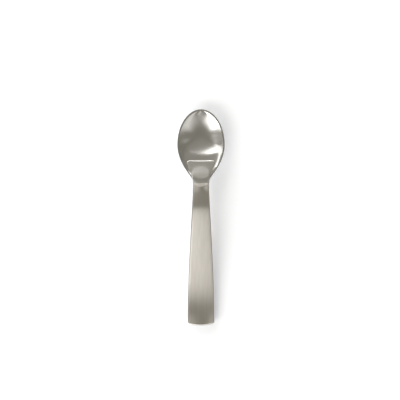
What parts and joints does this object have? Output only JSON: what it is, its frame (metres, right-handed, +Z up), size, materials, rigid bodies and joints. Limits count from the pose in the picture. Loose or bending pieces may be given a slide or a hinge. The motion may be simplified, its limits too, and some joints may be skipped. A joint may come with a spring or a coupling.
{
  "type": "teaspoon",
  "caption": "Satin steel teaspoon with an oval drawn bowl, a raised flared tongue lapping into it, and a hollow handle that widens to a gently bowed end.",
  "frame": {"origin": "bottom centre of the bounding box: on the table, halfway along the spoon and on its middle plane", "axes": "+Y along the spoon from the handle's end to the bowl's tip, +X to the right seen from above with the bowl away from the user, +Z up out of the open bowl"},
  "size_m": [0.0304, 0.14, 0.0124],
  "materials": {
    "bowl_steel": "satin polished stainless steel",
    "neck_steel": "satin stainless steel",
    "handle_steel": "stainless steel brushed along its length",
    "bedding_resin": "cast resin"
  },
  "bodies": {
    "root": {"bowl": "bowl_steel", "neck_tongue": "neck_steel", "handle_top_shell": "handle_steel", "handle_bottom_shell": "handle_steel", "tang_filler": "bedding_resin"}
  },
  "joints": []
}
